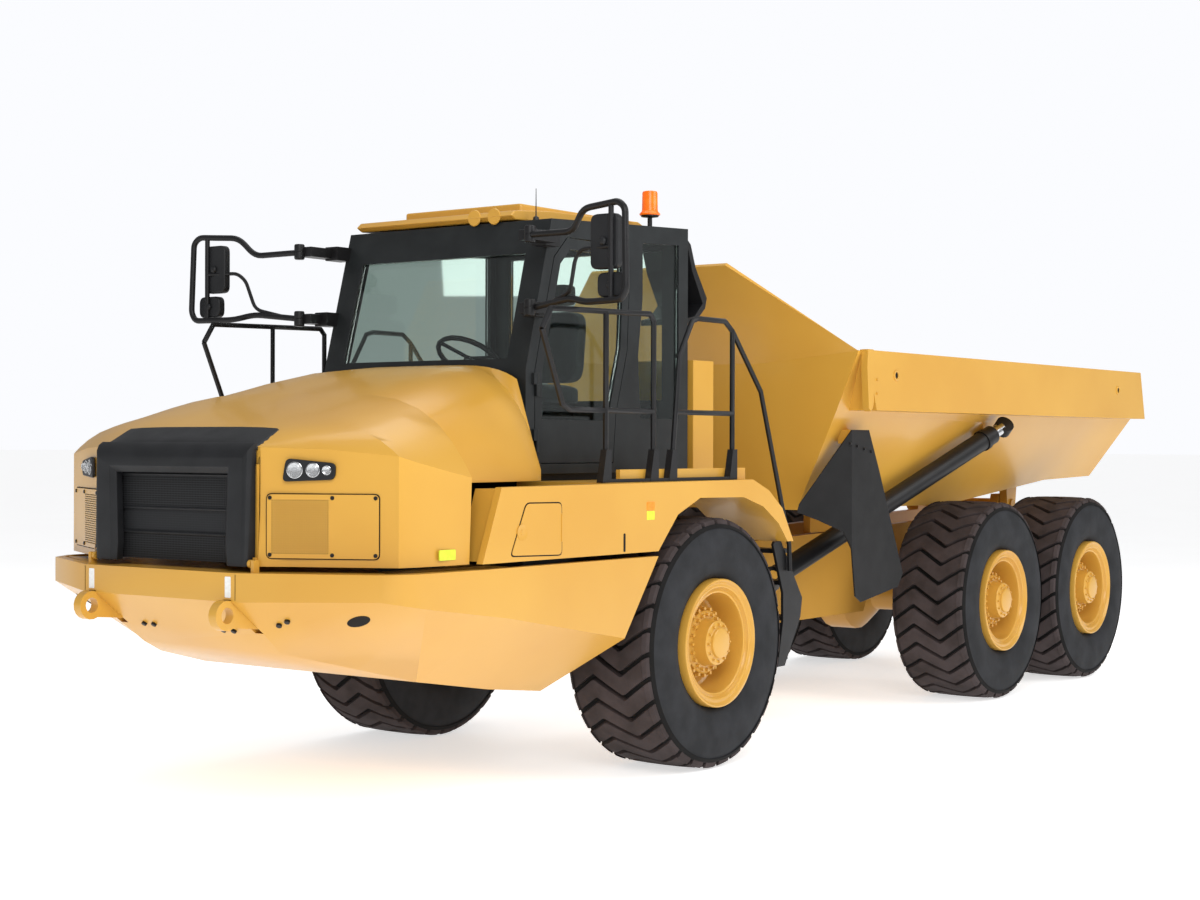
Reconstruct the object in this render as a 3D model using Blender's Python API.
"""Articulated six-wheel dump truck, built from separate named parts in metres.

The truck faces -Y, its left-hand side is +X and it stands on the plane Z = 0.
Shapes are written with Y = 0 at the front axle, and the empty "truck" then shifts
everything so that the middle of the truck's length lies at Y = 0.
"""
import math

import bmesh
import bpy
from mathutils import Matrix, Vector

# ---------------------------------------------------------------- driving dimensions
WHEELBASE = 4.26            # front axle to middle axle
TANDEM = 1.80               # middle axle to rear axle
TRACK = 2.275               # between the middles of a left and a right tyre
TYRE_RADIUS = 0.797
TYRE_WIDTH = 0.654
RIM_RADIUS = 0.407
NOSE = 3.425                # front axle to the tip of the tow plates
TAIL = 1.313                # rear axle to the tail of the bed
HITCH_Y = 1.30              # front axle to the steering hinge
BODY_HALF_WIDTH = 1.44      # fenders and bed rails
HOOD_HINGE_Y = -3.228
HOOD_HINGE_Z = 1.42
BUMPER_TOP = 1.375
PANEL_BOTTOM = 1.405        # hood and fender panels start above the bumper here
CAB_HALF_WIDTH = 0.84
CAB_FLOOR = 1.87
CAB_FRONT = -1.20
CAB_REAR = 0.55
CAB_ROOF_FRONT = 3.43
CAB_ROOF_REAR = 3.50
WALL = 0.055                # cab walls
BED_HINGE_Y = 6.44
BED_HINGE_Z = 1.51
BED_FRONT = 1.93            # front wall of the bed
BED_RAIL_TOP = 2.73
BED_RAIL_BOTTOM = 2.30
BED_PLATE = 0.03
BED_TIP_DEG = 70.0
STEER_DEG = 45.0
SEAT_GAP = 0.0004           # between two solids that rest on each other
RUN_GAP = 0.0003            # between two pieces that turn or slide on each other
PIN_SIDES = 24              # flats round a pin and its bore
MOVE_GAP = 0.006            # round a door or a panel that moves

MID_AXLE = WHEELBASE
REAR_AXLE = WHEELBASE + TANDEM
TAIL_Y = REAR_AXLE + TAIL
FRONT_AXLE_Y = (NOSE - TAIL_Y) / 2
AXLE_Z = TYRE_RADIUS

for old in list(bpy.data.objects):
    bpy.data.objects.remove(old, do_unlink=True)


# ---------------------------------------------------------------- materials
def material(name, colour, rough, metal=0.0, alpha=1.0):
    """A Principled BSDF with one colour, roughness and metallic value."""
    mat = bpy.data.materials.new(name)
    mat.use_nodes = True
    shader = mat.node_tree.nodes["Principled BSDF"]
    shader.inputs["Base Color"].default_value = (*colour, 1.0)
    shader.inputs["Roughness"].default_value = rough
    shader.inputs["Metallic"].default_value = metal
    shader.inputs["Alpha"].default_value = alpha
    return mat


YELLOW = material("yellow_paint", (0.80, 0.45, 0.08), 0.35)
BLACK = material("black_paint", (0.02, 0.02, 0.02), 0.5)
PLASTIC = material("black_plastic", (0.03, 0.03, 0.03), 0.6)
TYRE = material("tyre_rubber", (0.03, 0.028, 0.028), 0.85)
STEEL = material("bare_steel", (0.55, 0.55, 0.55), 0.3, metal=1.0)
IRON = material("cast_iron", (0.10, 0.10, 0.10), 0.7, metal=0.5)
GLASS = material("tinted_glass", (0.20, 0.30, 0.26), 0.05, alpha=0.4)
AMBER = material("amber_lens", (0.95, 0.25, 0.02), 0.3)
FABRIC = material("seat_fabric", (0.05, 0.05, 0.06), 0.9)

TRUCK = bpy.data.objects.new("truck", None)
TRUCK.location = (0.0, FRONT_AXLE_Y, 0.0)
bpy.context.scene.collection.objects.link(TRUCK)


# ---------------------------------------------------------------- solids
def solid(name, verts, faces):
    """A mesh object from corner points and faces, with its faces pointing out."""
    mesh = bpy.data.meshes.new(name)
    mesh.from_pydata([tuple(v) for v in verts], [], faces)
    bm = bmesh.new()
    bm.from_mesh(mesh)
    bmesh.ops.recalc_face_normals(bm, faces=bm.faces)
    bm.to_mesh(mesh)
    bm.free()
    obj = bpy.data.objects.new(name, mesh)
    bpy.context.scene.collection.objects.link(obj)
    return obj


def loft(name, rings, closed=False):
    """Join rings of equally many points, and close both ends with a face."""
    count = len(rings[0])
    verts = [point for ring in rings for point in ring]
    faces = []
    spans = len(rings) if closed else len(rings) - 1
    for i in range(spans):
        a = i * count
        b = (i + 1) % len(rings) * count
        for j in range(count):
            k = (j + 1) % count
            faces.append((a + j, a + k, b + k, b + j))
    if not closed:
        faces.append(tuple(range(count)))
        faces.append(tuple(range(len(verts) - count, len(verts))))
    return solid(name, verts, faces)


def prism_x(name, outline, x0, x1):
    """Extrude a (y, z) outline along X."""
    return loft(name, [[(x, y, z) for y, z in outline] for x in (x0, x1)])


def prism_z(name, outline, z0, z1):
    """Extrude an (x, y) outline along Z."""
    return loft(name, [[(x, y, z) for x, y in outline] for z in (z0, z1)])


def prism_y(name, outline, y0, y1):
    """Extrude an (x, z) outline along Y."""
    return loft(name, [[(x, y, z) for x, z in outline] for y in (y0, y1)])


def box(name, low, high):
    """A block between two corners."""
    (x0, y0, z0), (x1, y1, z1) = low, high
    return prism_z(name, [(x0, y0), (x1, y0), (x1, y1), (x0, y1)], z0, z1)


def turned(name, profile, centre, steps, side=1):
    """Turn an (along, radius) profile round an axis parallel to X, flats up and down."""
    cx, cy, cz = centre
    verts = []
    rings = []
    for along, radius in profile:
        if radius == 0:
            rings.append([len(verts)])
            verts.append((cx + side * along, cy, cz))
            continue
        ring = []
        for i in range(steps):
            angle = 2 * math.pi * (i + 0.5) / steps + math.pi / 2
            ring.append(len(verts))
            outer = radius / math.cos(math.pi / steps)
            verts.append((cx + side * along, cy + outer * math.cos(angle), cz + outer * math.sin(angle)))
        rings.append(ring)
    pairs = list(zip(rings, rings[1:]))
    if len(rings[0]) > 1:
        pairs.append((rings[-1], rings[0]))
    faces = []
    for one, two in pairs:
        for i in range(steps):
            k = (i + 1) % steps
            if len(one) == 1:
                faces.append((one[0], two[k], two[i]))
            elif len(two) == 1:
                faces.append((one[i], one[k], two[0]))
            else:
                faces.append((one[i], one[k], two[k], two[i]))
    return solid(name, verts, faces)


def rod(name, start, end, radius, sides=12):
    """A round bar between two points."""
    start, end = Vector(start), Vector(end)
    along = (end - start).normalized()
    across = along.orthogonal().normalized()
    other = along.cross(across)
    rings = []
    for point in (start, end):
        ring = []
        for i in range(sides):
            angle = 2 * math.pi * i / sides
            ring.append(point + radius * (math.cos(angle) * across + math.sin(angle) * other))
        rings.append(ring)
    return loft(name, rings)


def bore_radius(pin_radius, sides):
    """Corner radius of a hole whose flats clear a pin's corners when the pin turns in it."""
    return (pin_radius + RUN_GAP) / math.cos(math.pi / sides)


def tube(name, points, radius, sides=6):
    """A bent bar through points, mitred at each bend."""
    points = [Vector(p) for p in points]
    first = (points[1] - points[0]).normalized()
    across = first.orthogonal().normalized()
    rings = []
    for i, point in enumerate(points):
        into = (points[i] - points[i - 1]).normalized() if i else first
        out = (points[i + 1] - points[i]).normalized() if i + 1 < len(points) else into
        along = (into + out).normalized()
        across = (across - across.dot(into) * into).normalized()
        other = into.cross(across)
        ring = []
        for j in range(sides):
            angle = 2 * math.pi * j / sides
            flat = radius * (math.cos(angle) * across + math.sin(angle) * other)
            ring.append(point + flat - into * (flat.dot(along) / into.dot(along)))
        rings.append(ring)
    return loft(name, rings)


def evaluated(obj):
    """Apply an object's modifiers to its own mesh."""
    graph = bpy.context.evaluated_depsgraph_get()
    mesh = bpy.data.meshes.new_from_object(obj.evaluated_get(graph))
    obj.modifiers.clear()
    obj.data = mesh
    return obj


def combine(operation, base, tools):
    """Boolean each tool into the base, and remove the tools."""
    for tool in tools:
        step = base.modifiers.new(tool.name, "BOOLEAN")
        step.operation = operation
        step.solver = "EXACT"
        step.object = tool
    evaluated(base)
    for tool in tools:
        bpy.data.objects.remove(tool, do_unlink=True)
    return base


def join(base, *tools):
    return combine("UNION", base, tools)


def cut(base, *tools):
    return combine("DIFFERENCE", base, tools)


def mirrored(name, obj):
    """A copy of an object on the other side of the truck."""
    mesh = obj.data.copy()
    mesh.transform(Matrix.Scale(-1, 4, (1, 0, 0)) @ Matrix.Translation(obj.location))
    mesh.flip_normals()
    twin = bpy.data.objects.new(name, mesh)
    bpy.context.scene.collection.objects.link(twin)
    return twin


def place(obj, name, mat, pivot=(0.0, 0.0, 0.0), round_shape=False):
    """Name a finished part, give it its material and put its origin at its pivot."""
    obj.name = name
    obj.data.name = name
    obj.data.transform(Matrix.Translation(-Vector(pivot)))
    obj.location = pivot
    obj.data.materials.clear()
    obj.data.materials.append(mat)
    if round_shape:
        obj.data.shade_smooth()
        obj.data.set_sharp_from_angle(angle=math.radians(35))
    obj.parent = TRUCK
    return obj


def arc(cy, cz, radius, start_deg, end_deg, steps):
    """Points of an arc in a (y, z) or (x, y) plane."""
    points = []
    for i in range(steps + 1):
        angle = math.radians(start_deg + (end_deg - start_deg) * i / steps)
        points.append((cy + radius * math.cos(angle), cz + radius * math.sin(angle)))
    return points


# ---------------------------------------------------------------- wheels
WHEEL_STEPS = 28
HUB_FACE = 0.345            # hub cap, outboard of the tyre's middle
RIM_LIP = 0.332
RIM_DISC = 0.10
AXLE_SEAT = -0.06           # inner face of the hub, where the axle ends


def wheel(name, y, side):
    """One tyre and its rim, turning about the axle line."""
    centre = (side * TRACK / 2, y, AXLE_Z)
    half = TYRE_WIDTH / 2
    seat = RIM_RADIUS + SEAT_GAP
    tyre_profile = [
        (0.262, seat), (0.262, 0.445), (half, 0.61), (half - 0.028, 0.752), (0.0, TYRE_RADIUS),
        (0.028 - half, 0.752), (-half, 0.61), (-0.262, 0.445), (-0.262, seat),
    ]
    tyre = turned(name + "_tyre", tyre_profile, centre, WHEEL_STEPS, side)
    place(tyre, name + "_tyre", TYRE, centre, True)
    rim_profile = [
        (HUB_FACE, 0.0), (HUB_FACE, 0.13), (0.19, 0.165), (RIM_DISC, 0.22), (RIM_DISC, 0.335),
        (RIM_LIP, 0.385), (RIM_LIP, RIM_RADIUS), (-0.285, RIM_RADIUS), (-0.285, 0.37), (0.03, 0.335),
        (0.03, 0.20), (AXLE_SEAT, 0.19), (AXLE_SEAT, 0.0),
    ]
    rim = turned(name + "_rim", rim_profile, centre, WHEEL_STEPS, side)
    place(rim, name + "_rim", YELLOW, centre, True)


WHEELS = [("front_left", 0.0, 1), ("front_right", 0.0, -1), ("mid_left", MID_AXLE, 1),
          ("mid_right", MID_AXLE, -1), ("rear_left", REAR_AXLE, 1), ("rear_right", REAR_AXLE, -1)]
for wheel_name, wheel_y, wheel_side in WHEELS:
    wheel(wheel_name, wheel_y, wheel_side)

AXLE_END = TRACK / 2 + AXLE_SEAT - RUN_GAP


def axle(name, y):
    """A housing with a round differential in its middle."""
    half = [(0.0, 0.30), (0.12, 0.30), (0.24, 0.19), (0.30, 0.13), (AXLE_END - 0.16, 0.12),
            (AXLE_END - 0.12, 0.18), (AXLE_END, 0.18)]
    profile = [(-AXLE_END, 0.0)] + [(-x, r) for x, r in reversed(half[1:])] + half[1:] + [(AXLE_END, 0.0)]
    place(turned(name, profile, (0.0, y, AXLE_Z), 20), name, YELLOW, round_shape=True)


axle("front_axle", 0.0)
axle("mid_axle", MID_AXLE)
axle("rear_axle", REAR_AXLE)

# ---------------------------------------------------------------- front chassis
FRAME_Z0 = AXLE_Z + 0.30 + SEAT_GAP   # the chassis rests on the axle housing
FRAME_Z1 = 1.30
RAIL_X0, RAIL_X1 = 0.34, 0.44
FRONT_RAIL_Y = -2.86
YOKE_X = 0.20
EAR_BOTTOM = (0.62, 0.70)
EAR_TOP = (1.20, 1.30)
PIN_RADIUS = 0.065
BOSS_RADIUS = 0.13
STEER_X = 0.40
STEER_FRONT_Y = 0.33
STEER_REAR_Y = 1.50
STEER_Z = 0.93
STEER_LUG = STEER_Z + 0.06


def front_chassis():
    left = box("rail_l", (RAIL_X0, FRONT_RAIL_Y, FRAME_Z0), (RAIL_X1, 0.45, FRAME_Z1))
    right = box("rail_r", (-RAIL_X1, FRONT_RAIL_Y, FRAME_Z0), (-RAIL_X0, 0.45, FRAME_Z1))
    parts = [right]
    for y in (FRONT_RAIL_Y + 0.05, -0.45):
        parts.append(box("cross", (-0.40, y, FRAME_Z0 + 0.02), (0.40, y + 0.16, FRAME_Z1 - 0.02)))
    parts.append(box("yoke_deck", (-RAIL_X1, 0.36, FRAME_Z0), (RAIL_X1, 0.46, FRAME_Z1)))
    parts.append(box("yoke_neck", (-YOKE_X, 0.40, EAR_BOTTOM[0]), (YOKE_X, 0.95, EAR_TOP[1])))
    for low, high in (EAR_BOTTOM, EAR_TOP):
        ear = [(YOKE_X, 0.90), *arc(0.0, HITCH_Y, 0.17, 0, 180, 8), (-YOKE_X, 0.90)]
        parts.append(prism_z("ear", ear, low, high))
    pad = [(-0.30, 0.10), (-0.30, -0.10), (0.30, -0.10), (0.30, 0.10)]
    parts.append(prism_z("axle_pad", [(x * 1.5, y * 2) for x, y in pad], FRAME_Z0, FRAME_Z0 + 0.05))
    for side in (-1, 1):
        x = side * STEER_X
        lug = [(side * 0.33, STEER_FRONT_Y - 0.06), (x + side * 0.05, STEER_FRONT_Y - 0.06),
               (x + side * 0.05, STEER_FRONT_Y + 0.06), (side * 0.33, STEER_FRONT_Y + 0.06)]
        parts.append(prism_z("steer_lug", lug, STEER_LUG, FRAME_Z0 + 0.01))
    chassis = join(left, *parts)
    pin_hole = rod("pin_hole", (0, HITCH_Y, 0.5), (0, HITCH_Y, 1.5), bore_radius(PIN_RADIUS, PIN_SIDES), PIN_SIDES)
    return place(cut(chassis, pin_hole), "front_chassis", YELLOW)


front_chassis()
ENGINE_X = RAIL_X0 - SEAT_GAP
place(box("engine", (-ENGINE_X, -2.55, FRAME_Z0 + 0.02), (ENGINE_X, -1.35, 2.15)), "engine_block", IRON)


def plate(name, polygons, thickness, inside):
    """A closed sheet over polygons that share corners; a thickness above 0 grows away from inside."""
    verts = []
    faces = []
    for polygon in polygons:
        face = []
        for point in polygon:
            if point not in verts:
                verts.append(point)
            face.append(verts.index(point))
        faces.append(face)
    obj = solid(name, verts, faces)
    outward = sum(f.area * f.normal.dot(f.center - Vector(inside)) for f in obj.data.polygons)
    if outward < 0:
        obj.data.flip_normals()
    step = obj.modifiers.new("wall", "SOLIDIFY")
    step.thickness = thickness
    step.offset = 1.0
    step.solidify_mode = "NON_MANIFOLD"
    step.nonmanifold_thickness_mode = "CONSTRAINTS"
    return evaluated(obj)


def both_sides(polygons):
    """The polygons and their mirror images, turned so that they face the same way."""
    twins = [[(-x, y, z) for x, y, z in reversed(polygon)] for polygon in polygons]
    return polygons + twins


# ---------------------------------------------------------------- bumper and tow plates
BUMPER_FRONT = -3.32
BUMPER_BEND_X = 0.60
BUMPER_CORNER = (1.30, -2.976)
BUMPER_SIDE_X = 1.41
BUMPER_END_Y = -0.66
BELLY_Z = 0.56
TOW_X = 0.541
TOW_PLATE = 0.06
HOOD_PIN = 0.011


def front_bumper():
    """Bumper with side skirts and a sloping belly, one hollow pressing open at the back."""
    top = [(0.0, BUMPER_FRONT), (BUMPER_BEND_X, BUMPER_FRONT), BUMPER_CORNER, (BUMPER_SIDE_X, -2.80),
           (BODY_HALF_WIDTH, -2.30), (BODY_HALF_WIDTH, BUMPER_END_Y)]
    low = [(0.0, BUMPER_FRONT), (BUMPER_BEND_X, BUMPER_FRONT), BUMPER_CORNER, (BUMPER_SIDE_X, -2.74),
           (BODY_HALF_WIDTH, -2.10), (BODY_HALF_WIDTH, -1.01)]
    low_z = [1.223, 1.223, 1.234, 1.19, 1.10, 0.905]
    keel = [(0.0, -2.94), (0.55, -2.94), (0.80, -2.60), (0.86, -2.20), (0.88, -1.60), (0.88, -1.10)]
    keel_z = [0.92, 0.92, 0.82, 0.72, BELLY_Z + 0.06, BELLY_Z]
    faces = []
    for i in range(5):
        a, b = top[i], top[i + 1]
        c, d = low[i], low[i + 1]
        e, f = keel[i], keel[i + 1]
        one = [(*a, BUMPER_TOP), (*b, BUMPER_TOP), (*d, low_z[i + 1]), (*c, low_z[i])]
        two = [(*c, low_z[i]), (*d, low_z[i + 1]), (*f, keel_z[i + 1]), (*e, keel_z[i])]
        faces += [one, two]
    belly = [(*keel[i], keel_z[i]) for i in range(6)]
    for i in range(1, 5):
        x0 = [(0.0, belly[i][1], belly[i][2]), belly[i], belly[i + 1], (0.0, belly[i + 1][1], belly[i + 1][2])]
        faces.append(x0)
    shell = plate("bumper_shell", both_sides(faces), -0.05, (0.0, -1.8, 1.2))
    shelf = prism_z("shelf", [(-1.28, -2.90), (-0.58, -3.28), (0.58, -3.28), (1.28, -2.90), (0.9, -2.6), (-0.9, -2.6)],
                    BUMPER_TOP - 0.05, BUMPER_TOP)
    mount = box("mount", (-RAIL_X1 - 0.1, -3.10, 1.18), (RAIL_X1 + 0.1, FRONT_RAIL_Y - SEAT_GAP, BUMPER_TOP - 0.01))
    slots = []
    for side in (-1, 1):
        x = side * TOW_X
        half = TOW_PLATE / 2 + SEAT_GAP
        slots.append(box("tow_slot", (x - half, -3.5, 1.04), (x + half, -2.85, 1.234)))
    slots.append(box("bar_slot", (-0.62, -3.03, 1.05), (0.62, -2.90, 1.17)))
    hinges = []
    for side in (-1, 1):
        post = [(side * 0.640, BUMPER_TOP - 0.01), (side * 0.662, BUMPER_TOP - 0.01), (side * 0.662, HOOD_HINGE_Z + 0.02),
                (side * 0.640, HOOD_HINGE_Z + 0.02)]
        hinges.append(prism_y("hinge_post", post, HOOD_HINGE_Y - 0.02, HOOD_HINGE_Y + 0.02))
        hinges.append(rod("hinge_pin", (side * 0.613, HOOD_HINGE_Y, HOOD_HINGE_Z), (side * 0.65, HOOD_HINGE_Y, HOOD_HINGE_Z),
                          HOOD_PIN, 12))
    return place(join(cut(join(shell, shelf, mount), *slots), *hinges), "front_bumper", YELLOW)


front_bumper()


def tow_plates():
    """Two upright plates with round eyes, joined by a cross tube under the bumper."""
    parts = []
    for side in (-1, 1):
        x = side * TOW_X
        outline = [(-2.93, 1.05), *arc(-3.345, 1.153, 0.08, 300, 90, 10), (-3.10, 1.19), (-2.93, 1.16)]
        plate_solid = prism_x("tow", outline, x - TOW_PLATE / 2, x + TOW_PLATE / 2)
        hole = rod("hole", (x - 0.1, -3.345, 1.153), (x + 0.1, -3.345, 1.153), 0.042, 16)
        parts.append(cut(plate_solid, hole))
    bar = rod("bar", (-0.56, -2.965, 1.11), (0.56, -2.965, 1.11), 0.045, 12)
    return place(join(bar, *parts), "tow_plates", YELLOW)


tow_plates()

# ---------------------------------------------------------------- fenders
DECK_TOP = 1.825
DECK_UNDER = 1.765
FENDER_INNER_X = 0.90
FENDER_SKIN = 0.045
STORE_INNER_X = 1.235       # the store box ahead of the walkway


def fender(side):
    arch = [(0.86, PANEL_BOTTOM), (0.74, 1.531), (0.55, 1.645), (0.31, 1.712), (-0.201, 1.718), (-0.45, 1.62),
            (-0.66, PANEL_BOTTOM)]
    outer_arch = [(0.42, DECK_TOP), (0.62, 1.75), (0.79, 1.63), (0.935, PANEL_BOTTOM)]
    skin = [(-2.32, PANEL_BOTTOM), (-2.16, DECK_TOP - 0.01), (-1.0, DECK_TOP)] + outer_arch + arch
    x0, x1 = BODY_HALF_WIDTH - FENDER_SKIN, BODY_HALF_WIDTH
    panel = prism_x("fender_panel", skin, x0, x1)
    band = [(-1.16, DECK_UNDER), (-1.16, DECK_TOP), *outer_arch, *arch[:4], (-0.10, DECK_UNDER), (-0.60, DECK_UNDER)]
    deck = prism_x("fender_deck", band, FENDER_INNER_X, x1 - 0.01)
    store = [(-2.28, PANEL_BOTTOM + 0.01), (-2.14, DECK_TOP - 0.02), (-1.10, DECK_TOP - 0.02), (-1.10, DECK_UNDER),
             (-0.70, PANEL_BOTTOM + 0.01)]
    locker = prism_x("fender_store", store, STORE_INNER_X, x1 - 0.01)
    shelf = box("fender_shelf", (0.74 + SEAT_GAP, -1.16, DECK_UNDER), (FENDER_INNER_X + 0.02, 0.38, DECK_TOP))
    toe = prism_x("toe_board", [(-0.95, DECK_UNDER), (-0.95, 1.90), (0.45, 1.90), (0.45, DECK_UNDER)], 1.33, 1.36)
    obj = join(panel, deck, locker, shelf, toe)
    if side < 0:
        twin = mirrored("fender_right", obj)
        bpy.data.objects.remove(obj, do_unlink=True)
        obj = twin
    return place(obj, "fender_left" if side > 0 else "fender_right", YELLOW)


fender(1)
fender(-1)

# ---------------------------------------------------------------- hood, grille and lamps
HOOD_PLATE = 0.035
HOOD_REAR = -1.235
GRILLE_FRONT = -3.255
SCREEN_X = 0.52
SCREEN_TOP = 1.94


def hood_stations():
    """Edge of the hood from its front to the windscreen: half width, y, edge height, crown height."""
    return [
        (0.635, -3.185, 2.03, 2.055), (0.96, -3.02, 2.02, 2.13), (1.25, -2.865, 1.99, 2.18),
        (1.345, -2.74, 1.95, 2.22), (1.375, -2.50, 1.90, 2.29), (1.375, -2.335, 1.87, 2.335),
        (1.225, -2.30, 1.86, 2.345), (1.215, -2.0, 1.85, 2.42), (1.19, -1.6, 1.86, 2.50),
        (1.13, -1.42, 1.90, 2.52), (0.98, -1.32, 2.10, 2.53), (0.80, HOOD_REAR, 2.44, 2.535),
    ]


def hood_row(station):
    """Points across half the hood at one station, from the middle outwards."""
    half, y, edge, crown = station
    row = []
    for share in (0.0, 0.45, 0.70, 0.86, 0.95, 1.0):
        fall = share ** 5
        row.append((half * share, y, crown - (crown - edge) * fall))
    return row


def hood():
    stations = hood_stations()
    rows = [hood_row(station) for station in stations]
    faces = []
    for one, two in zip(rows, rows[1:]):
        for j in range(len(one) - 1):
            faces.append([one[j], one[j + 1], two[j + 1], two[j]])
    edge = [row[-1] for row in rows]
    foot = []
    for i, (x, y, z) in enumerate(edge):
        if i < 6:
            foot.append((x, y, PANEL_BOTTOM))
        else:
            foot.append((x, y, 1.838))
    foot[5] = (edge[5][0], edge[5][1] - 0.02, PANEL_BOTTOM)
    for i in range(len(edge) - 3):
        faces.append([edge[i], foot[i], foot[i + 1], edge[i + 1]] if i != 5 else [edge[5], foot[5], foot[6], edge[6]])
    front = rows[0]
    lower = [(x, y, PANEL_BOTTOM) for x, y, z in front]
    for j in range(len(front) - 1):
        faces.append([lower[j], lower[j + 1], front[j + 1], front[j]])
    shell = plate("hood_shell", both_sides(faces), -HOOD_PLATE, (0.0, -2.2, 1.6))
    opening = box("grille_opening", (-SCREEN_X, -3.4, 1.38), (SCREEN_X, -3.0, SCREEN_TOP))
    lugs = []
    for side in (-1, 1):
        tab = [(-3.18, 1.41), (-3.18, 1.46), (HOOD_HINGE_Y, 1.445), (HOOD_HINGE_Y - 0.022, 1.42), (HOOD_HINGE_Y, 1.395),
               (HOOD_HINGE_Y + 0.03, 1.395)]
        lug = prism_x("hinge_tab", tab, side * 0.613, side * 0.633)
        hole = rod("hole", (side * 0.6, HOOD_HINGE_Y, HOOD_HINGE_Z), (side * 0.66, HOOD_HINGE_Y, HOOD_HINGE_Z),
                   bore_radius(HOOD_PIN, 12), 12)
        lugs.append(cut(lug, hole))
    return join(cut(shell, opening), *lugs)


def grille_frame():
    """Raised black surround that stands proud of the hood's front."""
    y0 = -3.185 - SEAT_GAP
    outline = [(-0.605, 1.402), (-0.62, 2.0), (-0.57, 2.085), (0.57, 2.085), (0.62, 2.0), (0.605, 1.402),
               (0.44, 1.402), (0.45, 1.89), (-0.45, 1.89), (-0.44, 1.402)]
    frame = prism_y("grille_frame", outline, GRILLE_FRONT, y0)
    return frame


HOOD_PIVOT = (0.0, HOOD_HINGE_Y, HOOD_HINGE_Z)
place(hood(), "hood", YELLOW, HOOD_PIVOT)
place(grille_frame(), "grille_frame", PLASTIC, HOOD_PIVOT)
screen = box("screen", (SEAT_GAP - SCREEN_X, -3.175, PANEL_BOTTOM + 0.01), (SCREEN_X - SEAT_GAP, -3.155, SCREEN_TOP - SEAT_GAP))
place(screen, "grille_screen", PLASTIC, HOOD_PIVOT)


def headlight(side):
    """A lamp pod on the slanted front corner, which bends a little at its middle."""
    (x0, y0), (x1, y1), (x2, y2) = [station[:2] for station in hood_stations()[:3]]
    inner = Vector((0.80, y0 + (y1 - y0) * (0.80 - x0) / (x1 - x0)))
    outer = Vector((1.20, y1 + (y2 - y1) * (1.20 - x1) / (x2 - x1)))
    along = (outer - inner).normalized()
    out = Vector((along.y, -along.x))
    back = [point + out * 2 * SEAT_GAP for point in (inner, Vector((x1, y1)), outer)]
    base = [*back, outer + out * 0.03, inner + out * 0.03]
    pod = prism_z("headlight", [(side * p.x, p.y) for p in base], 1.83, 1.965)
    return place(pod, "headlight_left" if side > 0 else "headlight_right", PLASTIC, HOOD_PIVOT)


headlight(1)
headlight(-1)

# ---------------------------------------------------------------- cab
FRONT_HALF_WIDTH = 0.80
GLASS_LOW = 2.57
GLASS_TOP = 3.22
PANE = 0.010
PANE_GAP = 0.0005


def cab_profile(inset=0.0):
    """Side view of the cab; an inset gives its inner walls."""
    slope = math.atan2(CAB_ROOF_FRONT - 2.50, 0.25)
    lean = inset / math.sin(slope)
    return [
        (CAB_FRONT + inset, CAB_FLOOR + inset), (CAB_FRONT + inset, 2.50),
        (CAB_FRONT + 0.25 + lean, CAB_ROOF_FRONT - inset), (CAB_REAR - inset, CAB_ROOF_REAR - inset),
        (CAB_REAR - inset, CAB_FLOOR + inset),
    ]


def pillar_y(z):
    """Y of the cab's front face at a height."""
    if z <= 2.50:
        return CAB_FRONT
    return CAB_FRONT + 0.25 * (z - 2.50) / (CAB_ROOF_FRONT - 2.50)


DOOR_BOTTOM = 1.93
DOOR_TOP = 3.33
DOOR_REAR_TOP = -0.13
DOOR_REAR_LOW = -0.30
HINGE_SETBACK = 0.085
HINGE_X = CAB_HALF_WIDTH + 0.012
HINGE_Y = CAB_FRONT + HINGE_SETBACK + 0.012
KNUCKLE = 0.07
HINGE_RADIUS = 0.011
DOOR_KNUCKLES = (2.00, 2.34)


def door_outline(shrink=0.0):
    """Side view of the door: slanted front edge, curved rear edge."""
    front = [(CAB_FRONT + HINGE_SETBACK, DOOR_BOTTOM), (CAB_FRONT + HINGE_SETBACK, 2.50),
             (pillar_y(3.20) + HINGE_SETBACK, 3.20), (pillar_y(DOOR_TOP) + HINGE_SETBACK + 0.10, DOOR_TOP)]
    rear = [(DOOR_REAR_TOP - 0.02, DOOR_TOP), (DOOR_REAR_TOP, 3.0), (DOOR_REAR_TOP - 0.02, 2.65),
            (DOOR_REAR_LOW + 0.03, 2.25), (DOOR_REAR_LOW, DOOR_BOTTOM)]
    return inset_outline(front + rear, shrink)


def inset_outline(points, shrink):
    """Move every edge of an outline inwards by the same distance."""
    if not shrink:
        return points
    area = sum(a[0] * b[1] - b[0] * a[1] for a, b in zip(points, points[1:] + points[:1]))
    turn = 1 if area > 0 else -1
    result = []
    for i, point in enumerate(points):
        before = Vector(points[i - 1])
        here = Vector(point)
        after = Vector(points[(i + 1) % len(points)])
        into = (here - before).normalized()
        out = (after - here).normalized()
        n1 = Vector((-into.y, into.x)) * turn
        n2 = Vector((-out.y, out.x)) * turn
        bisector = (n1 + n2).normalized()
        moved = here + bisector * (shrink / bisector.dot(n1))
        result.append((moved.x, moved.y))
    return result


REAR_QUARTER = [(0.0, 2.22), (-0.03, 2.62), (0.02, 3.0), (0.02, 3.36), (0.44, 3.38), (0.44, 2.22)]
RIGHT_WINDOW = [(-1.05, 2.22), (-1.05, 2.50), (-0.87, 3.30), (0.44, 3.38), (0.44, 2.22)]
DOOR_GLASS_INSET = 0.075


def windscreen_slab(half, low, high, depth0, depth1):
    """A slab that follows the windscreen's slope, between two depths behind its face."""
    outline = [(pillar_y(low) + depth0, low), (pillar_y(high) + depth0, high),
               (pillar_y(high) + depth1, high), (pillar_y(low) + depth1, low)]
    return prism_x("slab", outline, -half, half)


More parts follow.
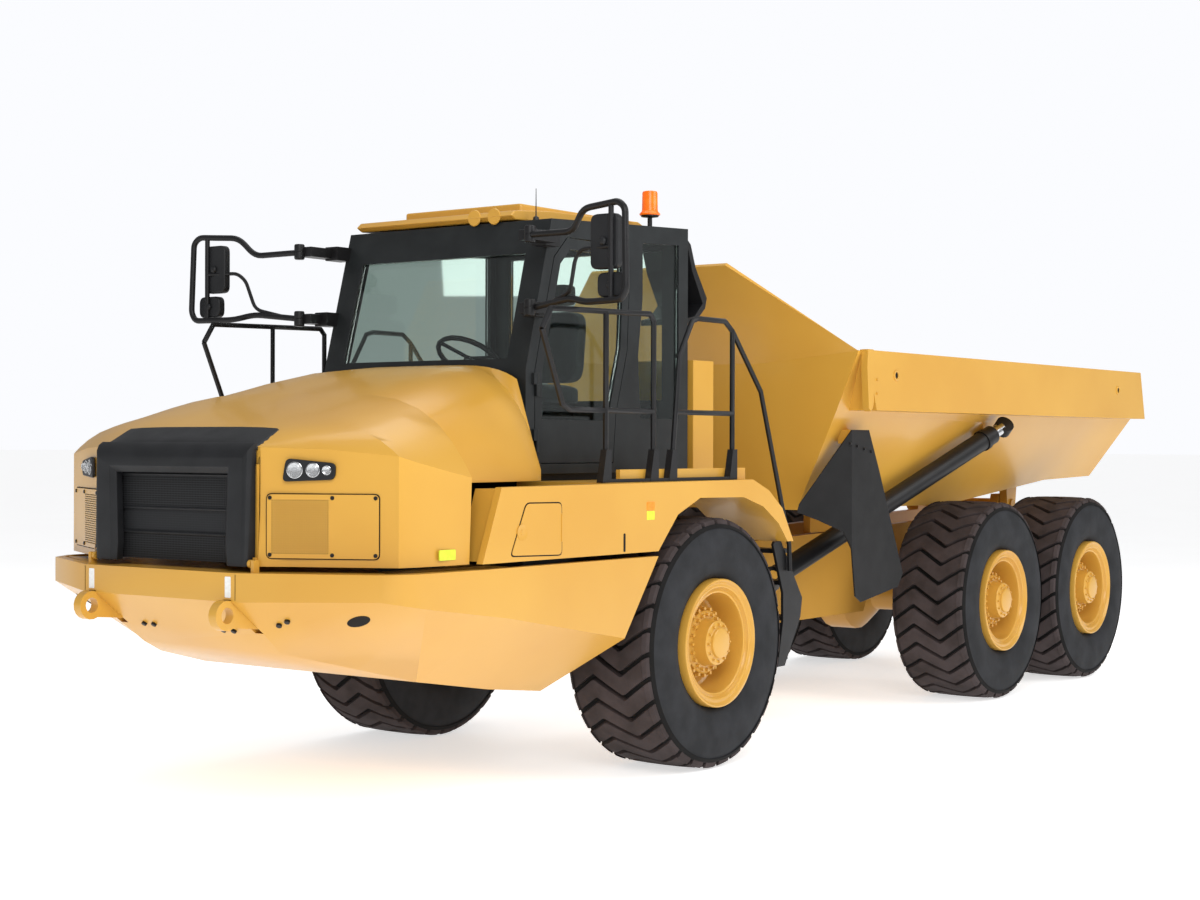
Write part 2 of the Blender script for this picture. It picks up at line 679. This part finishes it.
def cab():
    """Hollow cab with its door opening and windows cut through the walls."""
    outer = prism_x("cab", cab_profile(), -CAB_HALF_WIDTH, CAB_HALF_WIDTH)
    room = prism_x("room", cab_profile(WALL), WALL - CAB_HALF_WIDTH, CAB_HALF_WIDTH - WALL)
    x_in = CAB_HALF_WIDTH - WALL - 0.05
    x_out = CAB_HALF_WIDTH + 0.05
    tools = [
        room,
        prism_x("door_hole", door_outline(), x_in, x_out),
        prism_x("left_hole", REAR_QUARTER, x_in, x_out),
        prism_x("right_hole", RIGHT_WINDOW, -x_out, -x_in),
        windscreen_slab(0.68, GLASS_LOW, GLASS_TOP, -0.1, WALL + 0.1),
        box("rear_hole", (-0.66, CAB_REAR - WALL - 0.05, 2.35), (0.66, CAB_REAR + 0.05, 3.36)),
    ]
    shell = cut(outer, *tools)
    base = box("base", (-0.74, CAB_FRONT + 0.10, FRAME_Z1 + SEAT_GAP), (0.74, CAB_REAR - 0.1, CAB_FLOOR + 0.01))
    knuckles = []
    for z in DOOR_KNUCKLES:
        above = (z + KNUCKLE + RUN_GAP, z + 2 * KNUCKLE)
        knuckles.append(rod("knuckle", (HINGE_X, HINGE_Y, above[0]), (HINGE_X, HINGE_Y, above[1]), HINGE_RADIUS, 10))
        wall_x, strap_x = CAB_HALF_WIDTH - 0.01, HINGE_X - 0.006
        wall_y = HINGE_Y - 0.015
        strap = [(wall_x, wall_y - 0.022), (HINGE_X + 0.006, wall_y - 0.022), (HINGE_X + 0.006, HINGE_Y),
                 (strap_x, HINGE_Y), (strap_x, wall_y), (wall_x, wall_y)]
        knuckles.append(prism_z("strap", strap, *above))
    return place(join(shell, base, *knuckles), "cab_shell", BLACK)


cab()

mid_wall = WALL / 2
x_mid = CAB_HALF_WIDTH - mid_wall
pane = windscreen_slab(0.68 - PANE_GAP, GLASS_LOW + PANE_GAP, GLASS_TOP - PANE_GAP, 0.02, 0.02 + PANE)
place(pane, "windscreen", GLASS)
pane = prism_x("pane", inset_outline(REAR_QUARTER, PANE_GAP), x_mid, x_mid + PANE)
place(pane, "cab_glass_left", GLASS)
pane = prism_x("pane", inset_outline(RIGHT_WINDOW, PANE_GAP), -x_mid - PANE, -x_mid)
place(pane, "cab_glass_right", GLASS)
pane = box("pane", (-0.66 + PANE_GAP, CAB_REAR - mid_wall, 2.35 + PANE_GAP),
           (0.66 - PANE_GAP, CAB_REAR - mid_wall + PANE, 3.36 - PANE_GAP))
place(pane, "cab_glass_rear", GLASS)


def roof_z(y):
    """Top of the cab shell at a place along it."""
    share = (y - CAB_FRONT - 0.25) / (CAB_REAR - CAB_FRONT - 0.25)
    return CAB_ROOF_FRONT + (CAB_ROOF_REAR - CAB_ROOF_FRONT) * share


def cab_roof():
    y0, y1 = CAB_FRONT + 0.27, CAB_REAR - 0.06
    under = [(y0, roof_z(y0) + SEAT_GAP), (y1, roof_z(y1) + SEAT_GAP)]
    outline = [under[0], (y0 - 0.05, roof_z(y0) + 0.05), (y0 + 0.06, roof_z(y0) + 0.11),
               (y1 - 0.10, roof_z(y1) + 0.10), (y1, roof_z(y1) + 0.03), under[1]]
    return place(prism_x("roof", outline, -0.66, 0.62), "cab_roof", YELLOW)


cab_roof()

DOOR_PIVOT = (HINGE_X, HINGE_Y, 2.4)


def door():
    """Door leaf with its glass cut out and a pane seated in it."""
    leaf = prism_x("door", door_outline(MOVE_GAP), CAB_HALF_WIDTH - 0.045, CAB_HALF_WIDTH)
    knuckles = []
    for z in DOOR_KNUCKLES:
        knuckles.append(rod("knuckle", (HINGE_X, HINGE_Y, z), (HINGE_X, HINGE_Y, z + KNUCKLE), HINGE_RADIUS, 10))
        knuckles.append(box("tab", (CAB_HALF_WIDTH - 0.01, HINGE_Y, z), (HINGE_X + 0.005, HINGE_Y + 0.04, z + KNUCKLE)))
    window = [(y, z) for y, z in door_outline(DOOR_GLASS_INSET)]
    window = [(y, max(z, 2.20)) for y, z in window]
    hole = prism_x("hole", window, CAB_HALF_WIDTH - 0.1, CAB_HALF_WIDTH + 0.1)
    leaf = join(cut(leaf, hole), *knuckles)
    place(leaf, "door_left", BLACK, DOOR_PIVOT)
    glass = prism_x("glass", inset_outline(window, PANE_GAP), CAB_HALF_WIDTH - 0.027, CAB_HALF_WIDTH - 0.027 + PANE)
    place(glass, "door_glass", GLASS, DOOR_PIVOT)


door()


def seat():
    """Seat on a pedestal, one closed body."""
    floor = CAB_FLOOR + WALL + SEAT_GAP
    pedestal = box("pedestal", (-0.18, -0.42, floor), (0.18, 0.02, floor + 0.28))
    cushion = box("cushion", (-0.26, -0.50, floor + 0.27), (0.26, 0.05, floor + 0.41))
    back = prism_x("back", [(0.0, floor + 0.38), (0.16, floor + 1.05), (0.28, floor + 1.05), (0.14, floor + 0.38)],
                   -0.25, 0.25)
    rest = prism_x("rest", [(0.17, floor + 1.0), (0.20, floor + 1.22), (0.29, floor + 1.22), (0.27, floor + 1.0)],
                   -0.13, 0.13)
    return place(join(pedestal, cushion, back, rest), "seat", FABRIC)


def dashboard():
    """Dashboard, steering column and steering wheel."""
    floor = CAB_FLOOR + WALL + SEAT_GAP
    desk = prism_x("desk", [(CAB_FRONT + WALL + 0.02, floor), (CAB_FRONT + WALL + 0.02, 2.48),
                            (-0.92, 2.56), (-0.86, 2.50), (-0.95, floor)], -0.62, 0.62)
    column = rod("column", (0, -1.0, 2.2), (0, -0.72, 2.60), 0.035, 10)
    axis = Vector((0, 0.28, 0.40)).normalized()
    middle = Vector((0, -0.72, 2.60))
    across = Vector((1, 0, 0))
    other = axis.cross(across)
    rim = []
    for i in range(20):
        angle = 2 * math.pi * i / 20
        rim.append(middle + 0.22 * (math.cos(angle) * across + math.sin(angle) * other))
    rings = []
    for i, point in enumerate(rim):
        out = (point - middle).normalized()
        rings.append([point + 0.017 * (math.cos(a) * out + math.sin(a) * axis)
                      for a in [2 * math.pi * k / 6 for k in range(6)]])
    wheel_rim = loft("wheel_rim", rings, closed=True)
    spokes = []
    for i in (0, 7, 13):
        spokes.append(rod("spoke", middle, rim[i], 0.014, 6))
    return place(join(desk, column, wheel_rim, *spokes), "dashboard", PLASTIC)


seat()
dashboard()

# ---------------------------------------------------------------- mirrors, beacon, rear guard
MIRROR_TUBE = 0.02


def mirror(side):
    """Two arms from the front pillar, an outer tube, and two mirror heads."""
    post_x = 0.82
    upper = [(post_x - 0.01, -0.985, 3.30), (0.95, -1.32, 3.29), (1.314, -1.36, 3.284), (1.42, -1.405, 3.404),
             (1.72, -1.475, 3.419), (1.77, -1.48, 3.38), (1.784, -1.488, 2.92), (1.75, -1.485, 2.865),
             (1.45, -1.42, 2.865), (1.31, -1.37, 2.897), (0.96, -1.285, 2.86), (post_x + 0.05, -1.14, 2.86)]
    bar = tube("bar", upper, MIRROR_TUBE, 8)
    post = tube("post", [(1.66, -1.462, 3.41), (1.66, -1.462, 2.87)], 0.016, 8)
    big = box("big", (1.50, -1.46, 3.02), (1.70, -1.39, 3.36))
    small = box("small", (1.55, -1.46, 2.88), (1.75, -1.38, 3.03))
    clamps = [box("clamp", (post_x - 0.01, -1.10, 3.25), (post_x + 0.10, -0.96, 3.34)),
              box("clamp2", (post_x - 0.01, -1.185, 2.81), (post_x + 0.10, -1.045, 2.91))]
    obj = join(bar, post, big, small, *clamps)
    shell_clear = box("shell_clear", (0.0, -1.30, 2.6), (CAB_HALF_WIDTH + SEAT_GAP, 0.0, 3.6))
    cut(obj, shell_clear)
    if side < 0:
        twin = mirrored("mirror_right", obj)
        bpy.data.objects.remove(obj, do_unlink=True)
        obj = twin
    return place(obj, "mirror_left" if side > 0 else "mirror_right", PLASTIC)


mirror(1)
mirror(-1)

BEACON = (0.70, 0.30)


def beacon():
    x, y = BEACON
    base = roof_z(y) + SEAT_GAP
    stem = prism_z("stem", [(x + 0.02, y + 0.02), (x - 0.02, y + 0.02), (x - 0.02, y - 0.02), (x + 0.02, y - 0.02)],
                   base + 0.01, base + 0.10)
    foot = prism_x("foot", [(y - 0.05, roof_z(y - 0.05) + SEAT_GAP), (y + 0.05, roof_z(y + 0.05) + SEAT_GAP),
                            (y + 0.05, base + 0.02), (y - 0.05, base + 0.02)], x - 0.05, x + 0.05)
    rings = []
    for z, radius in ((base + 0.09, 0.05), (base + 0.10, 0.07), (base + 0.22, 0.062), (base + 0.25, 0.05)):
        rings.append([(x + radius * math.cos(a), y + radius * math.sin(a), z)
                      for a in [2 * math.pi * k / 16 for k in range(16)]])
    lamp = loft("lamp", rings)
    return place(join(foot, stem, lamp), "beacon", AMBER)


beacon()


def service_box():
    """Yellow service box behind the cab, standing on the chassis."""
    obj = box("service_box", (0.30, CAB_REAR + 0.04, 1.80), (0.86, 0.84, 2.62))
    leg = box("leg", (RAIL_X0 + 0.01, CAB_REAR + 0.05, EAR_TOP[1] + SEAT_GAP), (0.50, 0.80, 1.81))
    foot = box("foot", (-0.1, CAB_REAR + 0.06, EAR_TOP[1] + SEAT_GAP), (0.45, 0.78, EAR_TOP[1] + 0.06))
    return place(join(obj, leg, foot), "service_box", YELLOW)


service_box()


def rear_guard():
    """Curved black guard behind the cab's left rear window."""
    outline = [(CAB_REAR + SEAT_GAP, 3.44), (0.60, 3.40), (0.66, 3.25), (0.80, 3.05), (0.78, 2.98), (0.66, 2.88),
               (CAB_REAR + SEAT_GAP, 2.86), (CAB_REAR + SEAT_GAP, 2.90), (0.65, 2.92), (0.75, 3.01), (0.62, 3.22),
               (0.57, 3.36), (CAB_REAR + SEAT_GAP, 3.40)]
    return place(prism_x("guard", outline, 0.45, 0.83), "rear_guard", PLASTIC)


rear_guard()

# ---------------------------------------------------------------- handrails and ladder
RAIL_X = 1.385
RAIL_TUBE = 0.017
GUSSET_TOP = 2.02


def handrails(side):
    """Tube rails on gusset brackets along the outer edge of the walkway."""
    x = RAIL_X
    deck = DECK_TOP + SEAT_GAP
    tubes = [
        [(x, -1.13, deck), (x, -1.13, 2.83)],
        [(x, -1.74, 2.70), (x, -1.66, 2.82), (x, -0.68, 2.84), (x, -0.64, 2.80), (x, -0.64, deck)],
        [(x, -1.74, 2.70), (x, -1.55, 2.28), (x, -1.48, 2.25), (x, -0.64, 2.25)],
        [(x, -0.44, deck), (x, -0.44, 1.90), (x, -0.36, 2.60), (x, -0.22, 2.82), (x, -0.15, 2.84), (x, 0.16, 2.84), (x, 0.25, 2.78)],
        [(x, 0.25, 2.78), (x, 0.25, deck)],
        [(x, 0.25, 2.78), (x, 0.60, 2.40), (x, 0.97, 1.38), (x, 0.98, 1.20)],
        [(x, -0.40, 2.25), (x, 0.25, 2.25)],
    ]
    base = tube("rail", tubes[0], RAIL_TUBE)
    extra = [tube("rail", points, RAIL_TUBE) for points in tubes[1:]]
    for y in (-1.13, -0.64, -0.44, 0.25):
        gusset = [(y - 0.06, deck), (y - 0.02, GUSSET_TOP), (y + 0.03, GUSSET_TOP), (y + 0.03, deck)]
        extra.append(prism_x("gusset", gusset, x - 0.022, x + 0.022))
    tie = prism_x("tie", [(-1.15, deck), (-1.15, deck + 0.02), (0.27, deck + 0.02), (0.27, deck)], x - 0.02, x + 0.02)
    obj = join(base, tie, *extra)
    if side < 0:
        twin = mirrored("handrails_right", obj)
        bpy.data.objects.remove(obj, do_unlink=True)
        obj = twin
    return place(obj, "handrails_left" if side > 0 else "handrails_right", BLACK)


handrails(1)
handrails(-1)


def ladder():
    """Black ladder behind the left front wheel: two side plates and four treads."""
    outline = [(0.90, PANEL_BOTTOM - SEAT_GAP), (1.182, 1.008), (1.16, 0.88), (0.955, 0.56), (0.86, 0.56),
               (0.93, 0.86), (0.93, 1.05), (0.80, PANEL_BOTTOM - SEAT_GAP - 0.02), (0.82, PANEL_BOTTOM - SEAT_GAP)]
    inner = prism_x("inner", outline, 1.00, 1.02)
    outer = prism_x("outer", outline, 1.345, 1.365)
    treads = []
    for y, z in ((0.93, 0.60), (1.03, 0.86), (1.03, 1.10), (0.93, 1.32)):
        treads.append(box("tread", (1.01, y - 0.05, z), (1.355, y + 0.08, z + 0.03)))
    return join(inner, outer, *treads)


place(ladder(), "ladder_left", BLACK)

# ---------------------------------------------------------------- hitch and rear frame
HITCH_PLATE_Y = 1.78
RING_RADIUS = 0.30
RING_Z = 0.95
REAR_RAIL_X0, REAR_RAIL_X1 = 0.36, 0.44
REAR_RAIL_BOTTOM = 0.69
REAR_RAIL_TOP = 1.44
FLOOR_BOTTOM_FRONT = 1.58


def hitch():
    boss = rod("boss", (0, HITCH_Y, EAR_BOTTOM[1] + RUN_GAP), (0, HITCH_Y, EAR_TOP[0] - RUN_GAP), BOSS_RADIUS, 20)
    pin = rod("pin", (0, HITCH_Y, EAR_BOTTOM[0] - 0.02), (0, HITCH_Y, EAR_TOP[1] + 0.02), PIN_RADIUS, PIN_SIDES)
    tongue = prism_z("tongue", [(-0.11, HITCH_Y), (0.11, HITCH_Y), (0.30, 1.63), (0.30, HITCH_PLATE_Y),
                                (-0.30, HITCH_PLATE_Y), (-0.30, 1.63)], 0.74, 1.16)
    parts = [pin, tongue]
    for side in (-1, 1):
        lug = [(side * 0.20, 1.60), (side * (STEER_X + 0.055), STEER_REAR_Y - 0.05),
               (side * (STEER_X + 0.055), STEER_REAR_Y + 0.10), (side * 0.28, HITCH_PLATE_Y - 0.01)]
        parts.append(prism_z("lug", lug, STEER_LUG + MOVE_GAP, STEER_LUG + 0.09))
    ring = [(RING_RADIUS * math.cos(a), RING_Z + RING_RADIUS * math.sin(a))
            for a in [2 * math.pi * (k + 0.5) / 24 for k in range(24)]]
    parts.append(prism_y("ring", ring, 1.70, HITCH_PLATE_Y))
    return place(join(boss, *parts), "hitch", YELLOW, (0.0, HITCH_Y, 0.0))


hitch()

HOIST_LOW = Vector((0.65, 1.95, 1.06))
HOIST_EYE = Vector((1.30, 4.55, 2.20))


def tipped(point, degrees):
    """Where a point on the bed goes when the bed is raised."""
    angle = math.radians(degrees)
    y, z = point.y - BED_HINGE_Y, point.z - BED_HINGE_Z
    return Vector((point.x, BED_HINGE_Y + y * math.cos(angle) + z * math.sin(angle),
                   BED_HINGE_Z - y * math.sin(angle) + z * math.cos(angle)))


HOIST_RAISED = tipped(HOIST_EYE, BED_TIP_DEG)
HOIST_AXIS = (HOIST_EYE - HOIST_LOW).cross(HOIST_RAISED - HOIST_LOW).normalized()
HOIST_PIN = 0.035
BED_PIN = 0.045
LUG_X0, LUG_X1 = 0.447, 0.52


def rear_frame():
    y0 = HITCH_PLATE_Y + SEAT_GAP
    outline = [(y0, REAR_RAIL_BOTTOM), (3.75, REAR_RAIL_BOTTOM), (3.98, FRAME_Z0 + 0.02), (6.30, FRAME_Z0 + 0.02),
               (6.55, 1.40), (6.55, 1.60), (6.34, 1.60), (6.28, REAR_RAIL_TOP), (y0, REAR_RAIL_TOP - 0.12)]
    rails = [prism_x("rail", outline, side * REAR_RAIL_X0, side * REAR_RAIL_X1) for side in (-1, 1)]
    parts = [rails[1]]
    parts.append(box("front_plate", (-0.44, y0, REAR_RAIL_BOTTOM), (0.44, y0 + 0.08, 1.30)))
    for y in (2.6, 3.5, 5.16):
        parts.append(box("cross", (-0.40, y, 1.12), (0.40, y + 0.12, 1.30)))
    for y in (MID_AXLE, REAR_AXLE):
        parts.append(box("saddle", (-0.40, y - 0.15, FRAME_Z0), (0.40, y + 0.15, FRAME_Z0 + 0.16)))
    parts.append(box("floor", (-0.40, 1.9, REAR_RAIL_BOTTOM), (0.40, 3.70, REAR_RAIL_BOTTOM + 0.03)))
    for side in (-1, 1):
        pad = [(2.9, 1.36), (2.9, floor_under(2.9)), (3.4, floor_under(3.4)), (3.4, 1.36)]
        parts.append(prism_x("pad", pad, side * 0.37, side * 0.43))
        lug = [(side * 0.43, HOIST_LOW.y - 0.12), (side * 0.55, HOIST_LOW.y - 0.10),
               (side * 0.55, HOIST_LOW.y + 0.10), (side * 0.43, HOIST_LOW.y + 0.16)]
        parts.append(prism_z("hoist_lug", lug, HOIST_LOW.z - 0.13, HOIST_LOW.z + 0.13))
        low = Vector((side * HOIST_LOW.x, HOIST_LOW.y, HOIST_LOW.z))
        outwards = Vector((side * HOIST_AXIS.x, HOIST_AXIS.y, HOIST_AXIS.z))
        parts.append(rod("hoist_pin", low - outwards * 0.15, low + outwards * 0.06, HOIST_PIN, PIN_SIDES))
    parts.append(rod("bed_pin", (-LUG_X1 - 0.02, BED_HINGE_Y, BED_HINGE_Z), (LUG_X1 + 0.02, BED_HINGE_Y, BED_HINGE_Z),
                     BED_PIN, PIN_SIDES))
    return place(join(rails[0], *parts), "rear_frame", YELLOW, (0.0, HITCH_Y, 0.0))


# ---------------------------------------------------------------- bed
BED_STATIONS = [(2.06, 1.60, 0.80), (4.60, 1.58, 0.75), (6.62, 1.76, 0.75), (TAIL_Y, 1.79, 0.88)]
SHOULDER_X = 1.18
TOP_X = 1.37
HEAD_X = 0.60
HEAD_TOP = (1.41, 3.35)
FOLD_Z = 2.66


def floor_under(y):
    """Underside of the bed floor, less the seat gap."""
    (ya, za, _), (yb, zb, _) = BED_STATIONS[0], BED_STATIONS[1]
    return za + (zb - za) * (y - ya) / (yb - ya) - BED_PLATE - 2 * SEAT_GAP


def bed():
    """Open-topped load body: floor, sloping sides, front wall and headboard."""
    a = [(0.0, y, z) for y, z, _ in BED_STATIONS]
    b = [(x, y, z) for y, z, x in BED_STATIONS]
    c_y = [1.95, 4.60, 6.62, TAIL_Y - 0.004]
    c = [(SHOULDER_X, y, BED_RAIL_BOTTOM) for y in c_y[:3]] + [(SHOULDER_X + 0.10, c_y[3], BED_RAIL_BOTTOM + 0.02)]
    d_y = [BED_FRONT, 4.60, 6.62, TAIL_Y - 0.12]
    d = [(TOP_X, y, BED_RAIL_TOP) for y in d_y]
    faces = []
    for i in range(3):
        faces.append([a[i], b[i], b[i + 1], a[i + 1]])
        faces.append([b[i], c[i], c[i + 1], b[i + 1]])
        faces.append([c[i], d[i], d[i + 1], c[i + 1]])
    middle = (0.0, 1.95, BED_RAIL_BOTTOM)
    fold_mid, fold = (0.0, BED_FRONT, FOLD_Z), (HEAD_X, BED_FRONT, FOLD_Z)
    faces.append([middle, c[0], b[0], a[0]])
    faces.append([fold_mid, fold, d[0], c[0], middle])
    faces.append([(0.0, *HEAD_TOP), (HEAD_X, *HEAD_TOP), fold, fold_mid])
    faces.append([(HEAD_X, *HEAD_TOP), d[0], fold])
    shell = plate("bed", both_sides(faces), BED_PLATE, (0.0, 4.5, 2.4))
    parts = []
    for side in (-1, 1):
        rail = []
        for y_top, y_low in ((BED_FRONT + 0.018, 2.10), (TAIL_Y - 0.11, TAIL_Y)):
            rail.append([(side * (SHOULDER_X + 0.015), y_low, BED_RAIL_BOTTOM), (side * BODY_HALF_WIDTH, y_low, BED_RAIL_BOTTOM),
                         (side * BODY_HALF_WIDTH, y_top, BED_RAIL_TOP), (side * (TOP_X + 0.015), y_top, BED_RAIL_TOP + 0.003)])
        parts.append(loft("rail", rail))
        hinge = [(BED_HINGE_Y - 0.12, 1.85), (BED_HINGE_Y - 0.09, BED_HINGE_Z - 0.02),
                 *arc(BED_HINGE_Y, BED_HINGE_Z, 0.09, 200, 340, 6), (BED_HINGE_Y + 0.14, 1.85)]
        lug = prism_x("lug", hinge, side * LUG_X0, side * LUG_X1)
        inside = box("inside", (side * 0.3, BED_HINGE_Y - 0.4, 1.752), (side * 0.6, BED_HINGE_Y + 0.4, 2.0))
        cut(lug, inside)
        hole = rod("hole", (side * 0.3, BED_HINGE_Y, BED_HINGE_Z), (side * 0.7, BED_HINGE_Y, BED_HINGE_Z),
                   bore_radius(BED_PIN, PIN_SIDES), PIN_SIDES)
        parts.append(cut(lug, hole))
        parts.append(box("flap_block", (side * 1.10, 2.14, 2.06), (side * (FLAP_X - FLAP_THICK - SEAT_GAP), 2.24, 2.16)))
        parts.append(box("eye_plate", (side * 1.10, HOIST_EYE.y - 0.13, 2.10), (side * 1.18, HOIST_EYE.y + 0.13, 2.31)))
    return place(join(shell, *parts), "bed", YELLOW, (0.0, BED_HINGE_Y, BED_HINGE_Z))


FLAP_X = 1.24
FLAP_THICK = 0.014


def mud_flap(side):
    """Rubber flap that hangs from the bed and wraps inwards round its front corner."""
    def at(y, z):
        inward = max(0.0, 2.10 - y) * 1.25
        return (side * (FLAP_X - inward), y, z)
    front = [at(2.10, 2.16), at(1.86, 1.62), at(1.85, 1.56), at(1.95, 1.50), at(2.06, 1.42), at(2.10, 1.30)]
    back = [at(2.10, 2.16), at(2.10, 1.30), at(2.16, 0.95), at(2.25, 0.90), at(2.82, 0.98), at(2.90, 1.08),
            at(2.52, 1.86), at(2.36, 2.16)]
    flap = plate("flap", [front, back], FLAP_THICK, (side * 3.0, 2.1, 1.5))
    name = "mud_flap_left" if side > 0 else "mud_flap_right"
    return place(flap, name, BLACK, (0.0, BED_HINGE_Y, BED_HINGE_Z))


rear_frame()
bed()
mud_flap(1)
mud_flap(-1)

# ---------------------------------------------------------------- cylinders
HOIST_ROD = 0.05
HOIST_BARREL = 0.078


def mirror_x(point, side):
    return Vector((side * point.x, point.y, point.z))


def hoist(side):
    """One hoist cylinder: a barrel on the rear frame and a rod that reaches for the bed."""
    low, eye = mirror_x(HOIST_LOW, side), mirror_x(HOIST_EYE, side)
    axis = Vector((side * HOIST_AXIS.x, HOIST_AXIS.y, HOIST_AXIS.z))
    along = (eye - low).normalized()
    length = (eye - low).length
    barrel = rod("barrel", low + along * 0.05, low + along * (length - 0.16), HOIST_BARREL, 20)
    knuckle = rod("knuckle", low - axis * 0.042, low + axis * 0.042, 0.085, 16)
    join(barrel, knuckle)
    bore = rod("bore", low + along * 0.20, low + along * length, HOIST_ROD + RUN_GAP, 16)
    pin_hole = rod("pin_hole", low - axis * 0.1, low + axis * 0.1, bore_radius(HOIST_PIN, PIN_SIDES), PIN_SIDES)
    cut(barrel, bore, pin_hole)
    name = "left" if side > 0 else "right"
    place(barrel, "hoist_barrel_" + name, BLACK, low)
    bar = rod("bar", low + along * 0.22, eye - along * 0.03, HOIST_ROD, 16)
    end = rod("end", eye - axis * 0.045, eye + axis * 0.045, 0.075, 16)
    place(join(bar, end), "hoist_rod_" + name, STEEL, low)


STEER_BARREL = 0.045
STEER_ROD = 0.025


def steering(side):
    """One steering cylinder between the front chassis and the hitch."""
    front = Vector((side * STEER_X, STEER_FRONT_Y, STEER_Z))
    rear = Vector((side * STEER_X, STEER_REAR_Y, STEER_Z))
    along = Vector((0, 1, 0))
    name = "left" if side > 0 else "right"
    barrel = rod("barrel", front + along * 0.02, front + along * 0.80, STEER_BARREL, 16)
    eye = rod("eye", front - Vector((0, 0, 0.045)), front + Vector((0, 0, 0.06 - SEAT_GAP)), 0.05, 14)
    join(barrel, eye)
    bore = rod("bore", front + along * 0.10, front + along * 1.0, STEER_ROD + RUN_GAP, 12)
    place(cut(barrel, bore), "steer_barrel_" + name, BLACK, front)
    bar = rod("bar", front + along * 0.44, rear - along * 0.02, STEER_ROD, 12)
    end = rod("end", rear - Vector((0, 0, 0.035)), rear + Vector((0, 0, 0.035)), 0.05, 14)
    place(join(bar, end), "steer_rod_" + name, STEEL, front)


for cylinder_side in (1, -1):
    hoist(cylinder_side)
    steering(cylinder_side)
